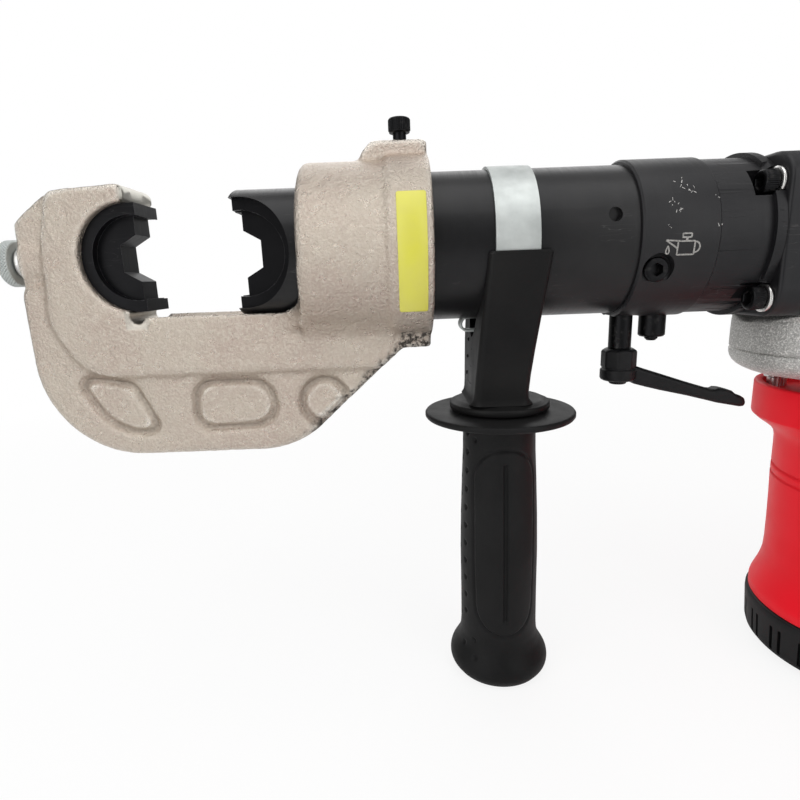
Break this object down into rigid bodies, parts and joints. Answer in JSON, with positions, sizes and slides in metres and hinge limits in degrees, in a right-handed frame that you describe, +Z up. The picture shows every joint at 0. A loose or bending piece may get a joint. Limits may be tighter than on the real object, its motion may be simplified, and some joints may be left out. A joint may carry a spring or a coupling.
{
  "type": "hydraulic cable crimping tool",
  "caption": "Cordless hydraulic crimping tool: swivelling C-head with hexagon dies, sliding ram, side handle on a clamp band, release lever, motor housing and rear handle.",
  "frame": {"origin": "under the middle of the tool's length, on the surface it stands on, in its plane of symmetry", "axes": "+X along the tool from the jaw to the rear handle, +Y across it, +Z up"},
  "size_m": [0.5824, 0.098, 0.2782],
  "materials": {
    "forged_nickel": "rough nickel plated forging",
    "black_steel": "black oxide, machined",
    "screw_steel": "blackened screw",
    "bright_steel": "zinc plated",
    "gear_steel": "ground steel",
    "seal_rubber": "seal rubber",
    "lever_metal": "black powder coat",
    "cast_aluminium": "sand cast",
    "dark_aluminium": "dark coat",
    "red_plastic": "fine textured",
    "black_plastic": "fine textured",
    "red_button": "moulded",
    "board": "coated board",
    "grip_rubber": "moulded rubber"
  },
  "bodies": {
    "body": {"cylinder_tube": "black_steel", "pump_body": "black_steel", "oil_plug": "black_steel", "safety_valve": "black_steel", "flange_block": "black_steel", "flange_washers": "bright_steel", "flange_screw_1": "screw_steel", "flange_screw_2": "screw_steel", "flange_screw_3": "screw_steel", "flange_screw_4": "screw_steel", "gear_housing": "cast_aluminium", "gear_top_cover": "dark_aluminium", "gear_cover": "cast_aluminium", "crank_bearing_upper": "gear_steel", "crank_bearing_lower": "gear_steel", "motor_housing": "red_plastic", "base_cap": "black_plastic", "stator": "gear_steel", "motor_bearing_upper": "gear_steel", "motor_bearing_lower": "gear_steel", "handle_shell_left": "black_plastic", "handle_shell_right": "black_plastic", "switch": "black_plastic", "control_board": "board", "battery_foot": "black_plastic", "return_spring": "bright_steel", "trigger_spring": "bright_steel"},
    "head": {"c_head": "forged_nickel", "fixed_die": "black_steel", "lock_screw": "screw_steel", "lock_bush": "black_steel", "lock_spring": "bright_steel"},
    "die_lock": {"lock_pin": "bright_steel", "lock_knob": "bright_steel"},
    "ram": {"ram": "black_steel", "moving_die": "black_steel", "piston_seal": "seal_rubber"},
    "side_clamp": {"clamp_band": "bright_steel", "yoke": "black_plastic", "clamp_bolt": "screw_steel"},
    "side_grip": {"side_grip": "grip_rubber", "grip_nut": "screw_steel"},
    "release_valve": {"release_spindle": "black_steel", "lever_screw": "screw_steel", "lever_spring": "bright_steel"},
    "release_lever": {"release_lever": "lever_metal"},
    "crank": {"crankshaft": "gear_steel", "crank_gear": "gear_steel"},
    "rotor": {"rotor": "gear_steel", "fan": "black_plastic"},
    "plunger": {"plunger": "gear_steel"},
    "trigger": {"trigger": "red_button"},
    "battery": {"battery_case": "black_plastic", "latch_spring": "bright_steel"},
    "battery_latch": {"battery_latch": "red_button"}
  },
  "joints": [
    {"name": "head_swivel", "type": "hinge", "parent": "body", "child": "head", "pos_m": [-0.09075, 0, 0.222], "axis": [1, 0, 0], "continuous": true},
    {"name": "ram_slide", "type": "slide", "parent": "head", "child": "ram", "axis": [-1, 0, 0], "range_m": [0, 0.0426], "stiffness_N_per_m": 1500, "springref_m": -0.02, "deforming": ["return_spring"]},
    {"name": "die_lock_pull", "type": "slide", "parent": "head", "child": "die_lock", "axis": [-1, 0, 0], "range_m": [0, 0.006], "stiffness_N_per_m": 2000, "springref_m": -0.003, "deforming": ["lock_spring"]},
    {"name": "side_clamp_turn", "type": "hinge", "parent": "body", "child": "side_clamp", "pos_m": [-0.05625, 0, 0.222], "axis": [1, 0, 0], "range_deg": [-180, 180]},
    {"name": "side_grip_twist", "type": "hinge", "parent": "side_clamp", "child": "side_grip", "pos_m": [-0.05755, 0, 0.1435], "axis": [0, 0, 1], "range_deg": [0, 300]},
    {"name": "release_turn", "type": "hinge", "parent": "body", "child": "release_valve", "pos_m": [0.00125, 0, 0.172], "axis": [0, 0, 1], "range_deg": [-90, 90]},
    {"name": "lever_lift", "type": "slide", "parent": "release_valve", "child": "release_lever", "axis": [0, 0, -1], "range_m": [0, 0.0035], "stiffness_N_per_m": 800, "springref_m": -0.003, "deforming": ["lever_spring"]},
    {"name": "crank_spin", "type": "hinge", "parent": "body", "child": "crank", "pos_m": [0.09625, 0, 0.222], "axis": [0, 0, 1], "continuous": true},
    {"name": "rotor_spin", "type": "hinge", "parent": "body", "child": "rotor", "pos_m": [0.12925, 0, 0.222], "axis": [0, 0, 1], "continuous": true},
    {"name": "plunger_slide", "type": "slide", "parent": "body", "child": "plunger", "axis": [1, 0, 0], "range_m": [-0.003, 0.003]},
    {"name": "trigger_pull", "type": "slide", "parent": "body", "child": "trigger", "axis": [1, 0, 0], "range_m": [0, 0.006], "stiffness_N_per_m": 900, "springref_m": -0.003, "deforming": ["trigger_spring"]},
    {"name": "battery_slide", "type": "slide", "parent": "body", "child": "battery", "axis": [1, 0, 0], "range_m": [0, 0.11]},
    {"name": "latch_press", "type": "slide", "parent": "battery", "child": "battery_latch", "axis": [0, 0, -1], "range_m": [0, 0.0035], "stiffness_N_per_m": 700, "springref_m": -0.002, "deforming": ["latch_spring"]}
  ],
  "couplings": [
    {"joint": "rotor_spin", "follows": "crank_spin", "ratio": -5.6}
  ]
}
